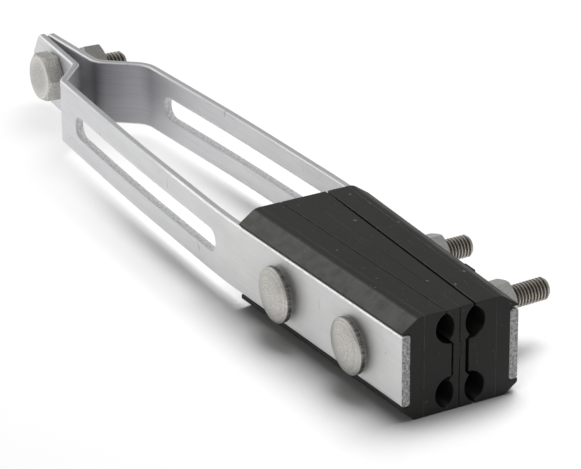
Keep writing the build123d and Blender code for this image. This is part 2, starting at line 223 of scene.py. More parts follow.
class CrossBoltSettings(bpy.types.PropertyGroup):
    """Sizes of the hexagon bolt through the strap tips."""

    place: bpy.props.FloatVectorProperty(
        name="Place", description="Where the bolt's axis crosses the centre plane",
        subtype="TRANSLATION", unit="LENGTH", size=3, default=(-230.6 * MM, 0, 19.75 * MM))
    lean: bpy.props.FloatProperty(
        name="Lean", description="How far the bolt hangs askew in its holes",
        subtype="ANGLE", default=math.radians(-2))
    seat: bpy.props.FloatProperty(
        name="Seat", description="Centre plane to the head's underside, along the bolt",
        unit="LENGTH", default=7.9686 * MM)
    length: bpy.props.FloatProperty(
        name="Length", description="Seat of the head to the end of the shank",
        unit="LENGTH", default=30.0 * MM)
    thread_length: bpy.props.FloatProperty(
        name="Thread length", description="Threaded part of the shank",
        unit="LENGTH", default=26.0 * MM)
    radius: bpy.props.FloatProperty(
        name="Thread radius", description="Crest radius of the thread",
        unit="LENGTH", default=4.97 * MM)
    pitch: bpy.props.FloatProperty(
        name="Thread pitch", description="Distance between two crests",
        unit="LENGTH", default=1.5 * MM)
    end_chamfer: bpy.props.FloatProperty(
        name="End chamfer", description="Chamfer at the end of the shank",
        unit="LENGTH", default=1.1 * MM)


class StudioSettings(bpy.types.PropertyGroup):
    """Camera, floor and light."""

    lens: bpy.props.FloatProperty(
        name="Lens", description="Focal length on a 36 mm sensor, in millimetres",
        subtype="DISTANCE_CAMERA", default=198.32)
    camera_place: bpy.props.FloatVectorProperty(
        name="Camera place", description="Where the camera stands",
        subtype="TRANSLATION", unit="LENGTH", size=3, default=(0.8172, -0.4934, 0.4789))
    azimuth: bpy.props.FloatProperty(
        name="Azimuth", description="Turn of the camera round the object",
        subtype="ANGLE", default=math.radians(60.62))
    elevation: bpy.props.FloatProperty(
        name="Elevation", description="How far the camera looks down",
        subtype="ANGLE", default=math.radians(24.62))
    roll: bpy.props.FloatProperty(
        name="Roll", description="Tilt of the camera about its line of sight",
        subtype="ANGLE", default=math.radians(-0.49))
    floor_tone: bpy.props.FloatProperty(
        name="Floor tone", description="Reflectance of the pale floor",
        subtype="FACTOR", min=0, max=1, default=0.6)
    sky_strength: bpy.props.FloatProperty(
        name="Sky strength", description="Level of the pale room that metal mirrors",
        min=0, default=0.9)
    fill_strength: bpy.props.FloatProperty(
        name="Fill strength", description="Level of the light from all round on dull surfaces",
        min=0, default=0.11)
    lamp_power: bpy.props.FloatProperty(
        name="Lamp", description="Power of the long soft lamp above and behind the clamp",
        unit="POWER", min=0, default=26)


# Node trees

def wire(tree, node, **inputs):
    """Sets or links a node's inputs, by name or, as i0, i1 and so on, by number."""
    for name, value in inputs.items():
        numbered = name[0] == "i" and name[1:].isdigit()
        socket = node.inputs[int(name[1:]) if numbered else name.replace("_", " ")]
        if isinstance(value, bpy.types.Node):
            value = value.outputs[0]
        if isinstance(value, bpy.types.NodeSocket):
            tree.links.new(value, socket)
        else:
            socket.default_value = value


def put(tree, kind, **inputs):
    """Adds a node. Names in capitals set its own settings, and the others its inputs."""
    node = tree.nodes.new(kind)
    own = {name: value for name, value in inputs.items() if name.isupper() and len(name) > 1}
    for name, value in own.items():
        setattr(node, name.lower(), value)
    wire(tree, node, **{name: value for name, value in inputs.items() if name not in own})
    return node


def calc(tree, operation, *values, clamp=False):
    """A Math node on values or sockets."""
    inputs = {f"i{place}": value for place, value in enumerate(values)}
    return put(tree, "ShaderNodeMath", OPERATION=operation, USE_CLAMP=clamp, **inputs).outputs[0]


def times(tree, first, *others):
    """Product of values or sockets."""
    for value in others:
        first = calc(tree, "MULTIPLY", first, value)
    return first


def absolute(tree, value, middle=None):
    """Size of a value, or its distance from a middle."""
    if middle is not None:
        value = calc(tree, "SUBTRACT", value, middle)
    return calc(tree, "ABSOLUTE", value)


def parts(tree, vector):
    """The X, Y and Z of a vector."""
    return put(tree, "ShaderNodeSeparateXYZ", Vector=vector).outputs[:]


def toward(tree, vector, way):
    """How far a vector points along another."""
    return put(tree, "ShaderNodeVectorMath", OPERATION="DOT_PRODUCT", i0=vector, i1=way).outputs["Value"]


def stored(tree, name):
    """A value kept on the mesh's points."""
    return put(tree, "ShaderNodeAttribute", ATTRIBUTE_TYPE="GEOMETRY", ATTRIBUTE_NAME=name).outputs["Fac"]


def remap(tree, value, low, high, out_low=0.0, out_high=1.0, smooth=False):
    """Value from low..high taken to out_low..out_high, and held there beyond."""
    kind = "SMOOTHSTEP" if smooth else "LINEAR"
    return put(tree, "ShaderNodeMapRange", INTERPOLATION_TYPE=kind, Value=value, From_Min=low,
               From_Max=high, To_Min=out_low, To_Max=out_high).outputs[0]


def blend_tone(tree, share, first, second):
    """Colour between first and second. Each is a socket, a colour or the value of a grey."""
    node = put(tree, "ShaderNodeMix", DATA_TYPE="RGBA", i0=share)
    for socket, value in ((node.inputs[6], first), (node.inputs[7], second)):
        if isinstance(value, bpy.types.NodeSocket):
            tree.links.new(value, socket)
        else:
            tone = (value,) * 3 if isinstance(value, float) else tuple(value)[:3]
            socket.default_value = (*tone, 1)
    return node.outputs[2]


def coat(tree, tone, *layers):
    """Lays colours over a tone one after another, each with its share."""
    for share, colour in layers:
        tone = blend_tone(tree, share, tone, colour)
    return tone


def shade(tone, factor):
    """A tone made darker or paler, up to white."""
    return [min(1.0, part * factor) for part in tone]


def noise(tree, place, scale, detail=3.0, stretch=(1, 1, 1), rough=0.55):
    """Noise with features of about 1/scale metres, stretched along the axes."""
    spread = put(tree, "ShaderNodeMapping", Vector=place, Scale=tuple(scale * s for s in stretch))
    return put(tree, "ShaderNodeTexNoise", Vector=spread.outputs[0], Scale=1.0, Detail=detail,
               Roughness=rough).outputs[0]


def start_material(name):
    """A bare material: its tree, its Principled shader and its object coordinates."""
    material = bpy.data.materials.new(name)
    material.use_nodes = True
    tree = material.node_tree
    tree.nodes.clear()
    shader = put(tree, "ShaderNodeBsdfPrincipled")
    put(tree, "ShaderNodeOutputMaterial", Surface=shader)
    place = put(tree, "ShaderNodeTexCoord").outputs["Object"]
    return material, tree, shader, place


def give(obj, material):
    """Puts one material on every slot of an object."""
    if not obj.data.materials:
        obj.data.materials.append(material)
    for slot in obj.material_slots:
        slot.material = material


def surface(tree, samples, radius):
    """The face's normal, one that is rounded at edges, and how far they agree, less than 1 at an edge."""
    normal = put(tree, "ShaderNodeNewGeometry").outputs["True Normal"]
    rounded = put(tree, "ShaderNodeBevel", SAMPLES=samples, Radius=radius).outputs[0]
    return normal, rounded, toward(tree, rounded, normal)


def strap_material(settings):
    """Drawn aluminium: long lines, worn edges, painted highlights, painted shade on the inner faces at the
    tips, grainy slots and ends.
    """
    material, tree, shader, place = start_material("drawn_aluminium")
    lines = noise(tree, place, 1 / settings.line_spacing, 3, DRAWN)
    fine = noise(tree, place, 3 / settings.line_spacing, 2, DRAWN)
    cloud = noise(tree, place, 70, 4, (0.5, 0.5, 1))
    specks = noise(tree, place, 900, 2)
    nicks = noise(tree, place, 420, 1, (1, 1, 0.35))
    grain = noise(tree, place, 1100, 3)
    x, y, z = parts(tree, place)
    normal, rounded, agreement = surface(tree, 8, 0.9 * MM)
    turned = parts(tree, normal)
    sideways, upward = absolute(tree, turned[1]), absolute(tree, turned[2])

    # Shares: the sheared ends, the slots' walls, and what grows towards the tips: a bluish painted
    # reflection tint, stronger lines, and painted shade on the inner faces
    end = times(tree, remap(tree, absolute(tree, turned[0]), 0.9, 0.97),
                remap(tree, absolute(tree, x, STRAP_MIDDLE), *STRAP_END))
    other = calc(tree, "SUBTRACT", 1.0, end)
    slot_wall = times(tree, remap(tree, sideways, 0.55, 0.3),
                      remap(tree, absolute(tree, z, SLOT_HEIGHT), *SLOT_EDGE), other)
    # A bluish painted reflection tint towards the tips; it also strengthens the lines and the metal there.
    cool = remap(tree, calc(tree, "MULTIPLY_ADD", cloud, 0.06, x), *COOL_STRETCH)
    drawn = times(tree, remap(tree, lines, 0.5, 0.75), calc(tree, "MULTIPLY_ADD", cool, 0.12, 0.07))
    inside = times(tree, remap(tree, times(tree, y, turned[1]), 0.0, -MM),
                   remap(tree, x, *INNER_SHADE_STRETCH, smooth=True))
    # Painted shade on the inner faces near the tips, broken a little by the lines.
    dull = times(tree, inside, remap(tree, lines, 0.3, 0.7, 0.95, 0.7))
    # Painted shade, deeper, on the inner faces in the cranks.
    crank_shade = times(tree, inside, remap(tree, x, *CRANK_SHADE_STRETCH, 0.0, 0.5, smooth=True))

    # Shares: painted shade on the strip's narrow top faces, its edges (worn, and a painted highlight), a
    # painted highlight on the top edges at the front, and one on the rounded edges at the tips
    # Painted shade: the strip's top faces are darkened.
    top_shade = remap(tree, calc(tree, "MULTIPLY_ADD", specks, 0.12, parts(tree, rounded)[2]), 0.86, 1.08)
    scuffed = times(tree, remap(tree, upward, 0.25, 0.75), remap(tree, specks, 0.5, 0.68))
    # The edges are paler: worn, and a painted highlight.
    edge = times(tree, remap(tree, agreement, 0.97, 0.8), remap(tree, nicks, 0.3, 0.6, 0.5, 0.9))
    # Painted highlight: a pale, glossier line along the top edges at the front.
    highlit = times(tree, remap(tree, z, *HIGHLIGHT_HEIGHT), remap(tree, nicks, 0.3, 0.6, 0.55, 0.9),
                   remap(tree, x, *HIGHLIGHT_STRETCH), remap(tree, sideways, 0.5, 0.6))
    # Painted highlight: the rounded edges at the tips are paler and glossier.
    shoulder_highlight = times(tree, remap(tree, upward, 0.2, 0.45), remap(tree, upward, 0.96, 0.85),
                     remap(tree, x, *SHOULDER_HIGHLIGHT_STRETCH))

    tone = blend_tone(tree, remap(tree, cloud, 0.3, 0.7), shade(settings.tone, 0.93),
                      shade(settings.tone, 1.05))
    mottle = blend_tone(tree, remap(tree, specks, 0.35, 0.65), [0.55, 0.55, 0.56], [0.82, 0.82, 0.83])
    sheared = blend_tone(tree, remap(tree, grain, 0.36, 0.64), shade(settings.edge_tone, 0.55),
                         shade(settings.edge_tone, 1.5))
    tone = coat(tree, tone,
                (times(tree, cool, 0.7), settings.cool_tone),
                (drawn, shade(settings.tone, 0.6)),
                (remap(tree, fine, 0.58, 0.75, 0, 0.1), [0.78, 0.78, 0.79]),
                (times(tree, top_shade, 0.9), [0.35, 0.35, 0.355]),
                (times(tree, scuffed, 0.3), 0.75),
                (dull, settings.inner_shade_tone),
                (crank_shade, [0.08, 0.08, 0.085]),
                (edge, 0.97),
                (highlit, 0.88),
                (times(tree, shoulder_highlight, 0.7), 1.0),
                (times(tree, slot_wall, 0.9), mottle),
                (remap(tree, specks, 0.73, 0.79, 0, 0.55), 0.25),
                (remap(tree, nicks, 0.74, 0.8, 0, 0.35), 0.33),
                (end, sheared))

    gloss = remap(tree, lines, 0.3, 0.7, settings.roughness - 0.05, settings.roughness + 0.08)
    gloss = calc(tree, "ADD", gloss, calc(tree, "MULTIPLY_ADD", highlit, -0.38, times(tree, end, 0.25)))
    gloss = calc(tree, "MULTIPLY_ADD", shoulder_highlight, -0.25, gloss)
    metal = calc(tree, "MULTIPLY_ADD", cool, 0.15, calc(tree, "MULTIPLY_ADD", highlit, 0.5, 0.42))
    relief = calc(tree, "ADD", times(tree, lines, other), times(tree, grain, times(tree, end, 6.0)))
    bump = put(tree, "ShaderNodeBump", Strength=0.3, Distance=0.02 * MM, Height=relief, Normal=rounded)
    # Painted highlight on the top edge at the front: there the normal is tilted to face half up, as a
    # rounded one does.
    tilted = put(tree, "ShaderNodeCombineXYZ", Y=times(tree, turned[1], 0.75), Z=0.66)
    leaning = put(tree, "ShaderNodeMix", DATA_TYPE="VECTOR", i0=highlit, i4=bump, i5=tilted).outputs[1]
    wire(tree, shader, Base_Color=tone, Roughness=gloss, Metallic=metal, Normal=leaning)
    return material


def moulding_material(settings, name, side=0, gap=0.0):
    """Black moulded plastic, scuffed and dusty. A jaw on a side, -1 or 1, has a mould line there."""
    material, tree, shader, place = start_material(name)
    cloud = noise(tree, place, 90, 5)
    dust = noise(tree, place, 1300, 2)
    flecks = noise(tree, place, 300, 1)
    rubs = noise(tree, place, 160, 3, (0.12, 1, 1))
    grain = noise(tree, place, 2600, 2)
    stains = noise(tree, place, 260, 4)
    x, y, z = parts(tree, place)
    normal, rounded, agreement = surface(tree, 6, 0.4 * MM)
    turned = parts(tree, normal)

    # Shares: the left chamfers (worn, and a painted sheen), the edges (worn, and a painted highlight), the
    # dust, and painted shade on the walls of the conductor channels
    # Only the chamfers that face left are paler: worn plastic, and a painted sheen.
    chamfer = times(tree, remap(tree, absolute(tree, turned[2]), 0.45, 0.6),
                    remap(tree, turned[1], -0.35, -0.5),
                    remap(tree, cloud, 0.3, 0.65, 0.6, 1.0),
                    remap(tree, stains, 0.35, 0.6, 0.72, 1.05))
    # The edges are paler: worn, and a painted highlight.
    edge = times(tree, remap(tree, agreement, 0.97, 0.8), remap(tree, rubs, 0.42, 0.6, 0.1, 0.7))
    dusty = times(tree, remap(tree, dust, 0.68, 0.76), remap(tree, cloud, 0.45, 0.6))
    # Painted shade: the conductor channels' walls are made near black and rougher.
    channel_shade = times(tree, remap(tree, absolute(tree, z, BLOCK_MIDDLE_HEIGHT), *CHANNEL_ZONE),
                   remap(tree, absolute(tree, y), *CHANNEL_ZONE),
                   remap(tree, absolute(tree, turned[0]), 0.7, 0.4))

    tone = blend_tone(tree, remap(tree, cloud, 0.35, 0.7), shade(settings.tone, 0.85),
                      shade(settings.tone, 1.35))
    tone = coat(tree, tone,
                (chamfer, settings.scuff_tone),
                (edge, shade(settings.scuff_tone, 1.6)),
                (dusty, shade(settings.scuff_tone, 1.7)),
                (remap(tree, flecks, 0.74, 0.78, 0, 0.6), shade(settings.scuff_tone, 1.5)),
                (times(tree, channel_shade, 0.75), 0.002))
    relief = times(tree, grain, 0.4)
    if side:
        # Depth outward from the plate's land, which slants with the flare
        depth = calc(tree, "SUBTRACT", times(tree, y, float(side)), LAND_HALF)
        slide = times(tree, calc(tree, "SUBTRACT", BLOCK_END, x), math.tan(FLARE))
        depth = times(tree, calc(tree, "SUBTRACT", depth, slide), math.cos(FLARE))
        ridge = remap(tree, absolute(tree, depth, settings.mould_line_offset + gap),
                      settings.mould_line_width / 2, 0.0, smooth=True)
        broken = times(tree, ridge, remap(tree, rubs, 0.38, 0.58, 0.12, 0.75))
        tone = blend_tone(tree, broken, tone, settings.scuff_tone)
        relief = calc(tree, "ADD", relief, times(tree, ridge, 6.0))
    gloss = remap(tree, cloud, 0.3, 0.7, settings.roughness - 0.06, settings.roughness + 0.1)
    gloss = calc(tree, "MULTIPLY_ADD", channel_shade, 0.4, gloss, clamp=True)
    bump = put(tree, "ShaderNodeBump", Strength=0.5, Distance=0.02 * MM, Height=relief, Normal=rounded)
    wire(tree, shader, Base_Color=tone, Roughness=gloss, Specular_IOR_Level=0.25, Normal=bump)
    return material


def steel_material(settings, name, tone, grain_share, threaded=False, rim=0.0):
    """Dull stainless steel, mottled by forging. A bolt has dirt in its thread.

    A round head of the radius rim has turning marks, and its rim is painted dark with knurl strokes:
    painted shade. Edges are paler: worn, and a painted highlight.
    """
    material, tree, shader, place = start_material(name)
    grain = noise(tree, place, 1 / settings.grain_size, 3, rough=0.6)
    coarse = noise(tree, place, 0.16 / settings.grain_size, 3)
    pits = noise(tree, place, 2.2 / settings.grain_size, 1)
    rounded, agreement = surface(tree, 6, 0.35 * MM)[1:]
    spread = 0.5 * grain_share
    mottled = blend_tone(tree, remap(tree, grain, 0.36, 0.64, 0.5 - spread, 0.5 + spread),
                         shade(tone, 0.66), shade(tone, 1.3))
    layers = [(remap(tree, coarse, 0.35, 0.65, 0, 0.35), shade(tone, 0.75)),
              (remap(tree, pits, 0.68, 0.74, 0, 0.6 * grain_share), shade(tone, 0.35))]
    if rim:
        out = stored(tree, "out")
        ring = noise(tree, put(tree, "ShaderNodeCombineXYZ", X=out), 2200, 2)
        strokes = noise(tree, place, 1500, 2, (1, 0.12, 1))
        # Painted shade: the rim is darkened, with knurl strokes.
        rim_shade = blend_tone(tree, remap(tree, strokes, 0.4, 0.62), shade(tone, 0.2), shade(tone, 0.55))
        layers += [(remap(tree, ring, 0.42, 0.6, 0, 0.45), shade(tone, 1.5)),
                   (remap(tree, out, rim - 0.12 * MM, rim - 0.02 * MM), rim_shade)]
    # The edges are paler: worn, and a painted highlight.
    layers.append((times(tree, remap(tree, agreement, 0.992, 0.945), 0.8), [0.9, 0.89, 0.87]))
    if threaded:
        beyond = parts(tree, place)[1]
        dirt = times(tree, remap(tree, stored(tree, "valley"), 0.12, 0.62),
                     remap(tree, coarse, 0.3, 0.6, 0.65, 1.0))
        layers += [(remap(tree, beyond, *WEATHERED, 0.0, 0.5), [0.24, 0.22, 0.19]),
                   (dirt, settings.valley_tone)]
    gloss = remap(tree, grain, 0.3, 0.7, settings.roughness - 0.06, settings.roughness + 0.1)
    bump = put(tree, "ShaderNodeBump", Strength=0.4 * grain_share, Distance=0.05 * MM, Height=grain,
               Normal=rounded)
    wire(tree, shader, Base_Color=coat(tree, mottled, *layers), Roughness=gloss, Metallic=1.0, Normal=bump)
    return material


# Threaded bolts

def thread_tree(material):
    """Geometry nodes: one screw thread along +Y from Start to End, closed by a flat end."""
    tree = bpy.data.node_groups.new("screw_thread", "GeometryNodeTree")
    for name in ("Pitch", "Crest Radius", "Root Radius", "Start", "End", "Chamfer"):
        tree.interface.new_socket(name, in_out="INPUT", socket_type="NodeSocketFloat")
    tree.interface.new_socket("Rows", in_out="INPUT", socket_type="NodeSocketInt")
    tree.interface.new_socket("Geometry", in_out="OUTPUT", socket_type="NodeSocketGeometry")
    sizes = put(tree, "NodeGroupInput").outputs
    pitch, crest, root = sizes["Pitch"], sizes["Crest Radius"], sizes["Root Radius"]
    start, end, rows = sizes["Start"], sizes["End"], sizes["Rows"]
    grid = put(tree, "GeometryNodeMeshGrid", Size_X=1.0, Size_Y=1.0, Vertices_X=AROUND + 1,
               Vertices_Y=calc(tree, "ADD", rows, 1.0))
    across, down = parts(tree, put(tree, "GeometryNodeInputPosition"))[:2]

    # The grid's width goes once round, and its length along the thread, one turn behind the start.
    round_share = calc(tree, "ADD", across, 0.5)
    turns = times(tree, calc(tree, "ADD", down, 0.5), calc(tree, "DIVIDE", rows, float(ROWS_PER_TURN)))
    turns = calc(tree, "ADD", turns, round_share)
    along = calc(tree, "MULTIPLY_ADD", turns, pitch, calc(tree, "SUBTRACT", start, pitch))
    held = calc(tree, "MINIMUM", calc(tree, "MAXIMUM", along, start), end)

    # Radius: the thread's flanks, a run-out to the plain shank, and a chamfer at the end
    flank = remap(tree, calc(tree, "PINGPONG", turns, 0.5), 0.1, 0.4)
    radius = calc(tree, "MULTIPLY_ADD", flank, calc(tree, "SUBTRACT", crest, root), root)
    run_out = calc(tree, "SUBTRACT", crest, times(tree, calc(tree, "SUBTRACT", held, start), 0.35))
    end_radius = calc(tree, "SUBTRACT", crest, sizes["Chamfer"])
    cone = calc(tree, "ADD", end_radius, calc(tree, "SUBTRACT", end, held))
    radius = calc(tree, "MINIMUM", calc(tree, "MAXIMUM", radius, run_out), cone)

    angle = times(tree, round_share, math.tau)
    spot = put(tree, "ShaderNodeCombineXYZ", X=times(tree, radius, calc(tree, "COSINE", angle)), Y=held,
               Z=times(tree, radius, calc(tree, "SINE", angle)))
    wound = put(tree, "GeometryNodeSetPosition", Geometry=grid, Position=spot)
    disc = put(tree, "GeometryNodeMeshCircle", FILL_TYPE="TRIANGLE_FAN", Vertices=AROUND, Radius=end_radius)
    lid = put(tree, "GeometryNodeTransform", Geometry=disc, Rotation=(math.pi / 2, 0, 0),
              Translation=put(tree, "ShaderNodeCombineXYZ", Y=end))
    both = put(tree, "GeometryNodeJoinGeometry", Geometry=wound)
    wire(tree, both, Geometry=lid)
    closed = put(tree, "GeometryNodeMergeByDistance", Geometry=both, Distance=MERGE)
    real = put(tree, "GeometryNodeRealizeInstances", Geometry=closed)
    steel = put(tree, "GeometryNodeSetMaterial", Geometry=real, Material=material)
    put(tree, "NodeGroupOutput", i0=steel)
    return tree


def thread_span(bolt):
    """Start and end of a bolt's thread, from its seat, and the thread's root radius."""
    return bolt.length - bolt.thread_length, bolt.length, bolt.radius - THREAD_DEPTH * bolt.pitch


def add_thread(bm, tree, bolt):
    """Adds a bolt's thread, taken from the tree as a plain mesh."""
    start, end, root = thread_span(bolt)
    rows = ROWS_PER_TURN * math.ceil((end - start) / bolt.pitch + 1)
    sizes = {"Pitch": bolt.pitch, "Crest Radius": bolt.radius, "Root Radius": root,
             "Start": start, "End": end, "Chamfer": bolt.end_chamfer, "Rows": rows}
    holder = bpy.data.objects.new("thread_holder", bpy.data.meshes.new("thread_holder"))
    bpy.context.collection.objects.link(holder)
    winding = holder.modifiers.new("thread", "NODES")
    winding.node_group = tree
    for item in tree.interface.items_tree:
        if item.item_type == "SOCKET" and item.in_out == "INPUT":
            winding[item.identifier] = sizes[item.name]
    evaluated = holder.evaluated_get(bpy.context.evaluated_depsgraph_get())
    mesh = bpy.data.meshes.new_from_object(evaluated)
    holder.modifiers.clear()
    bpy.data.objects.remove(holder)
    bm.from_mesh(mesh)
    bpy.data.meshes.remove(mesh)


def turn_profile(bm, profile):
    """Rings round the Y axis through profile's (y, radius) points, from a pole on the axis outward."""
    pole = bm.verts.new((0, profile[0][0], 0))
    last = None
    for y, radius in profile[1:]:
        ring = [bm.verts.new((radius * math.cos(step * math.tau / AROUND), y,
                              radius * math.sin(step * math.tau / AROUND))) for step in range(AROUND)]
        for here in range(AROUND):
            after = (here + 1) % AROUND
            if last:
                bm.faces.new((last[here], last[after], ring[after], ring[here]))
            else:
                bm.faces.new((pole, ring[after], ring[here]))
        last = ring


def crown_profile(radius, height, rim, rounding, steps=10):
    """Points of a domed head from its pole to its seat, which is at y = 0."""
    rise = height - rim
    ball = (radius ** 2 + rise ** 2) / (2 * rise)
    points = []
    for step in range(steps + 1):
        out = (radius - rounding) * step / steps
        points.append((-(height - ball + math.sqrt(ball ** 2 - out ** 2)), out))
    # The dome's edge and the seat's are rounded.
    points.append((-(rim - rounding * 0.1), radius - rounding * 0.35))
    points.append((-(rim - rounding), radius))
    points.append((-rounding * 0.6, radius))
    points.append((0.0, radius - rounding * 0.6))
    return points


def finish_bolt(name, bm, material, bolt, turn):
    """Closes a bolt's mesh, marks its sharp edges, radii and thread valleys, and puts it in its place."""
    start, end, root = thread_span(bolt)
    depth = bolt.radius - root
    bmesh.ops.remove_doubles(bm, verts=bm.verts, dist=MERGE)
    bmesh.ops.recalc_face_normals(bm, faces=bm.faces)
    for edge in bm.edges:
        edge.smooth = len(edge.link_faces) == 2 and edge.calc_face_angle(0) < SHARP
    for face in bm.faces:
        face.smooth = True
    mesh = bpy.data.meshes.new(name)
    bm.to_mesh(mesh)
    bm.free()
    valley = mesh.attributes.new("valley", "FLOAT", "POINT")
    distance = mesh.attributes.new("out", "FLOAT", "POINT")
    for vertex, cell, far in zip(mesh.vertices, valley.data, distance.data):
        out = far.value = math.hypot(vertex.co.x, vertex.co.z)
        threaded = start < vertex.co.y < end - depth
        cell.value = min(1.0, max(0.0, (bolt.radius - out) / depth)) if threaded else 0.0
    mesh.materials.append(material)
    mesh.transform(turn)
    piece = bpy.data.objects.new(name, mesh)
    bpy.context.collection.objects.link(piece)
    return piece


def square_neck(bm, side, length, rounding):
    """Square neck along +Y from the seat, with rounded corners."""
    corners = []
    for quarter in range(4):
        middle = math.pi / 4 + quarter * math.pi / 2
        centre = Vector((math.cos(middle), math.sin(middle))) * (side / 2 - rounding) * math.sqrt(2)
        for step in range(4):
            angle = quarter * math.pi / 2 + step * math.pi / 6
            corners.append(centre + Vector((math.cos(angle), math.sin(angle))) * rounding)
    near = [bm.verts.new((c.x, 0.0, c.y)) for c in corners]
    far = [bm.verts.new((c.x, length, c.y)) for c in corners]
    for here in range(len(corners)):
        after = (here + 1) % len(corners)
        bm.faces.new((near[here], near[after], far[after], far[here]))
    bm.faces.new(near)
    bm.faces.new(list(reversed(far)))


def part_of_cad(node, turn, cut_at):
    """Mesh of a CAD node's near part, turned to the Y axis and cut there."""
    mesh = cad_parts[node].data.copy()
    bm = bmesh.new()
    bm.from_mesh(mesh)
    bpy.data.meshes.remove(mesh)
    bmesh.ops.remove_doubles(bm, verts=bm.verts, dist=0.001 * MM)
    bm.transform(turn)
    cut = bmesh.ops.bisect_plane(bm, geom=bm.verts[:] + bm.edges[:] + bm.faces[:],
                                 plane_co=(0, cut_at, 0), plane_no=(0, 1, 0), clear_outer=True)
    rim = [piece for piece in cut["geom_cut"] if isinstance(piece, bmesh.types.BMEdge)]
    bmesh.ops.contextual_create(bm, geom=rim)
    bmesh.ops.dissolve_limit(bm, angle_limit=0.001, verts=bm.verts, edges=bm.edges)
    return bm


# Operators

class DressStraps(bpy.types.Operator):
    """Gives both straps their drawn aluminium"""

    bl_idname = "anchor_clamp.dress_straps"
    bl_label = "Dress straps"

    def execute(self, context):
        material = strap_material(context.scene.anchor_straps)
        for node in ("left_strap", "right_strap"):
            give(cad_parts[node], material)
        return {"FINISHED"}


class DressMouldings(bpy.types.Operator):
    """Gives the jaws and inner plates their black plastic"""

    bl_idname = "anchor_clamp.dress_mouldings"
    bl_label = "Dress mouldings"

    def execute(self, context):
        settings = context.scene.anchor_mouldings
        for name, side, gap in (("left", -1, LEFT_JAW_GAP), ("right", 1, RIGHT_JAW_GAP)):
            material = moulding_material(settings, f"{name}_jaw_plastic", side, gap)
            give(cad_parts[f"{name}_outer_jaw"], material)
        plates = moulding_material(settings, "plate_plastic")
        for node in ("left_inner_plate", "right_inner_plate"):
            give(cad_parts[node], plates)
        return {"FINISHED"}


class DressNuts(bpy.types.Operator):
    """Gives the nuts and washers their steel"""

    bl_idname = "anchor_clamp.dress_nuts"
    bl_label = "Dress nuts and washers"

    def execute(self, context):
        settings = context.scene.anchor_fasteners
        nuts = steel_material(settings, "nut_steel", settings.nut_tone, grain_share=0.55)
        for place in ("front", "rear"):
            for piece in ("clamping_nut", "flat_washer", "spring_washer"):
                give(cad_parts[f"{piece}_{place}"], nuts)
        hook_nut = steel_material(settings, "hook_nut_steel", settings.head_tone, grain_share=0.6)
        give(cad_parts["hook_nut"], hook_nut)
        return {"FINISHED"}


class MakeClampingBolts(bpy.types.Operator):
    """Makes both round-headed bolts with their threads"""

    bl_idname = "anchor_clamp.make_clamping_bolts"
    bl_label = "Make clamping bolts"

    def execute(self, context):
        sizes = context.scene.anchor_clamping_bolts
        steel = context.scene.anchor_fasteners
        material = steel_material(steel, "bolt_steel", shade(steel.head_tone, CLAMPING_BOLT_SHADE),
                                  grain_share=0.8, threaded=True, rim=sizes.head_radius)
        tree = thread_tree(material)
        shank = [(0.0, sizes.radius), (thread_span(sizes)[0], sizes.radius)]
        profile = crown_profile(sizes.head_radius, sizes.head_height, sizes.head_rim, HEAD_ROUNDING) + shank
        for place, seat, lean in (("front", sizes.front_seat, sizes.front_lean),
                                  ("rear", sizes.rear_seat, sizes.rear_lean)):
            node = f"clamping_bolt_{place}"
            low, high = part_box(node)
            bm = bmesh.new()
            add_thread(bm, tree, sizes)
            turn_profile(bm, profile)
            square_neck(bm, sizes.neck_side, sizes.neck_length, NECK_ROUNDING)
            turn = Matrix.Translation(((low.x + high.x) / 2, 0, sizes.height))
            turn = turn @ Matrix.Rotation(lean, 4, "X") @ Matrix.Translation((0, -seat, 0))
            bolt = finish_bolt(f"{place}_clamping_bolt", bm, material, sizes, turn)
            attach(bolt, "left_half")
            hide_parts(node)
        return {"FINISHED"}


class MakeCrossBolt(bpy.types.Operator):
    """Makes the hexagon bolt through the strap tips, with its thread"""

    bl_idname = "anchor_clamp.make_cross_bolt"
    bl_label = "Make cross bolt"

    def execute(self, context):
        sizes = context.scene.anchor_cross_bolt
        steel = context.scene.anchor_fasteners
        material = steel_material(steel, "cross_bolt_steel", steel.head_tone, grain_share=0.8,
                                  threaded=True)
        turn = Matrix.Translation(sizes.place) @ Matrix.Rotation(sizes.lean, 4, "X")
        turn = turn @ Matrix.Translation((0, -sizes.seat, 0))
        # The head is the CAD bolt's, cut off just past its seat. The shank starts inside it.
        bm = part_of_cad("hook_bolt", turn.inverted(), 0.01 * MM)
        add_thread(bm, thread_tree(material), sizes)
        inside = -2.0 * MM
        turn_profile(bm, [(inside, 0.0), (inside, sizes.radius), (thread_span(sizes)[0], sizes.radius)])
        bolt = finish_bolt("cross_bolt", bm, material, sizes, turn)
        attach(bolt, "hook_bolt")
        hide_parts("hook_bolt")
        return {"FINISHED"}


class SetUpStudio(bpy.types.Operator):
    """Lays the floor and sets the light and the camera"""

    bl_idname = "anchor_clamp.set_up_studio"
    bl_label = "Set up studio"

    def execute(self, context):
        sizes = context.scene.anchor_studio
        lay_floor(sizes)
        light_world(sizes)
        add_lamp(sizes)
        set_camera(sizes)
        return {"FINISHED"}


